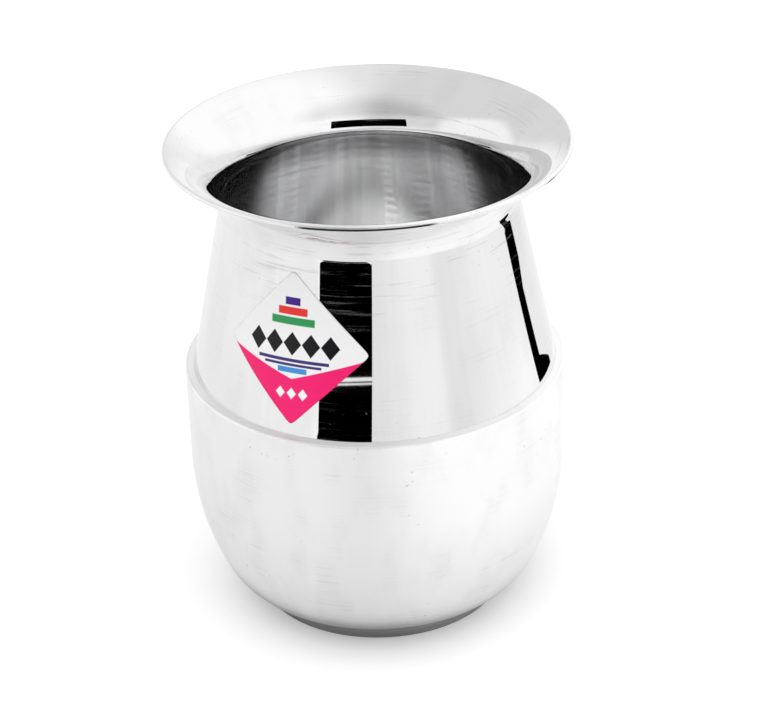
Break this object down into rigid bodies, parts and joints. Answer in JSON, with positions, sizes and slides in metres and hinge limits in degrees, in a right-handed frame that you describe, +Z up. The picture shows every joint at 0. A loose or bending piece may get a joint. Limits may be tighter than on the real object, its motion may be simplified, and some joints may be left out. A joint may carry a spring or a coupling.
{
  "type": "lota",
  "caption": "Round polished steel water pot with a flared hemmed mouth, a cone above a welded belly seam, a rounded bowl and a low foot ring.",
  "frame": {"origin": "centre of the foot ring on the surface the lota stands on", "axes": "+Z up along the axis of the vessel, -Y towards the viewer of the picture, the label a little to the left of -Y"},
  "size_m": [0.12, 0.12, 0.149],
  "materials": {
    "polished_upper": "mirror polish with fine turning lines",
    "polished_bowl": "bright polish",
    "polished_foot": "polish",
    "weld_metal": "ground and polished weld",
    "label_film": "printed film, semi-gloss"
  },
  "bodies": {
    "root": {"upper_body": "polished_upper", "lower_bowl": "polished_bowl", "belly_weld": "weld_metal", "foot_ring": "polished_foot", "foot_weld": "weld_metal", "label": "label_film"}
  },
  "joints": []
}
